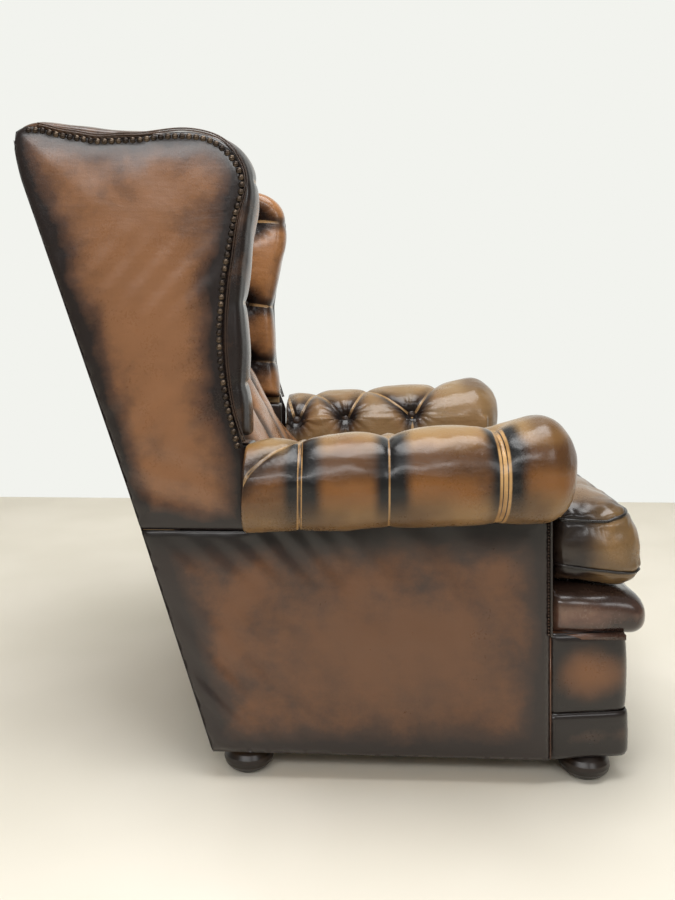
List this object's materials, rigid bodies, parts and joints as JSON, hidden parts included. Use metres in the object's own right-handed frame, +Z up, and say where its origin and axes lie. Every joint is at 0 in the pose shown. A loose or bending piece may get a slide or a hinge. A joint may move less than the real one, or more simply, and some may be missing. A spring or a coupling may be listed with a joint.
{
  "type": "chesterfield armchair",
  "caption": "High-backed winged armchair with rolled buttoned leather arms, raked back, bun feet and a loose T-shaped seat cushion that draws out forwards.",
  "frame": {"origin": "on the floor, under the middle of the chair's bounding box", "axes": "+Z up, -Y is the chair's front, +X is the sitter's left"},
  "size_m": [0.8542, 0.9425, 0.9972],
  "materials": {
    "leather_inside": "antiqued, semi-gloss",
    "leather_roll": "antiqued, semi-gloss",
    "leather_outside": "antiqued, semi-gloss",
    "leather_cushion": "worn, semi-gloss",
    "leather_dark": "dark, semi-gloss",
    "leather_button": "antiqued, semi-gloss",
    "piping": "dark, semi-gloss",
    "nails": "antique",
    "foot_wood": "dark stain, satin",
    "frame_wood": "bare beech",
    "steel": "bright wire",
    "webbing": "jute",
    "hessian": "plain",
    "dust_cloth": "matt"
  },
  "bodies": {
    "chair": {"arm_board_left": "frame_wood", "arm_board_right": "frame_wood", "arm_buttons": "leather_button", "arm_facing_left": "leather_dark", "arm_facing_right": "leather_dark", "arm_roll_left": "leather_roll", "arm_roll_right": "leather_roll", "arm_stump_left": "frame_wood", "arm_stump_right": "frame_wood", "back_buttons": "leather_button", "back_post_left": "frame_wood", "back_post_right": "frame_wood", "back_webbing": "webbing", "corner_blocks": "frame_wood", "crest_rail": "frame_wood", "dust_cover": "dust_cloth", "foot_bolts": "steel", "foot_front_left": "foot_wood", "foot_front_right": "foot_wood", "foot_rear_left": "foot_wood", "foot_rear_right": "foot_wood", "front_border": "leather_dark", "front_lip": "leather_dark", "front_rail": "frame_wood", "inside_back": "leather_inside", "inside_wing_left": "leather_inside", "inside_wing_right": "leather_inside", "outside_arm_left": "leather_outside", "outside_arm_right": "leather_outside", "outside_back": "leather_outside", "outside_wing_left": "leather_outside", "outside_wing_right": "leather_outside", "plinth_band": "leather_dark", "rear_rail": "frame_wood", "seat_platform": "hessian", "seat_springs": "steel", "side_rail_left": "frame_wood", "side_rail_right": "frame_wood", "spring_clips": "steel", "stay_rail": "frame_wood", "tack_strip_left": "frame_wood", "tack_strip_right": "frame_wood", "wing_buttons": "leather_button", "wing_post_left": "frame_wood", "wing_post_right": "frame_wood", "wing_rail_left": "frame_wood", "wing_rail_right": "frame_wood"},
    "cushion": {"seat_cushion": "leather_cushion"}
  },
  "joints": [
    {"name": "seat_cushion_slide", "type": "slide", "parent": "chair", "child": "cushion", "axis": [0, -1, 0], "range_m": [0, 0.5]}
  ]
}
